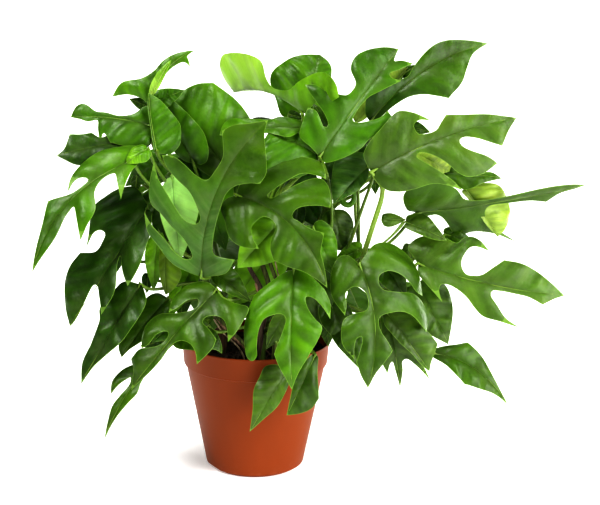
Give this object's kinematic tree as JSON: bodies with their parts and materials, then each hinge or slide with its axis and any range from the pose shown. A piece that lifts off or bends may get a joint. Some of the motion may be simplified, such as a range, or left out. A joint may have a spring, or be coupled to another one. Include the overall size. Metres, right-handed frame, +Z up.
{
  "type": "potted monstera plant",
  "caption": "Bushy potted monstera with deeply cut, arching leaves on thin stalks, in a round tapered plastic nursery pot filled with soil.",
  "frame": {"origin": "middle of the pot's underside, where the pot's axis meets the ground", "axes": "+Z up along the pot's axis, -Y towards the side that the picture shows, +X to its right"},
  "size_m": [0.6002, 0.3654, 0.4902],
  "materials": {
    "terracotta_plastic": "satin",
    "dark_soil": "matte",
    "leaf_green": "semi-gloss"
  },
  "bodies": {
    "root": {"pot": "terracotta_plastic", "soil": "dark_soil", "left_shoot": "leaf_green", "front_shoot": "leaf_green", "right_shoot": "leaf_green", "centre_shoot": "leaf_green", "back_left_shoot": "leaf_green", "back_right_shoot": "leaf_green", "back_shoot": "leaf_green"}
  },
  "joints": []
}
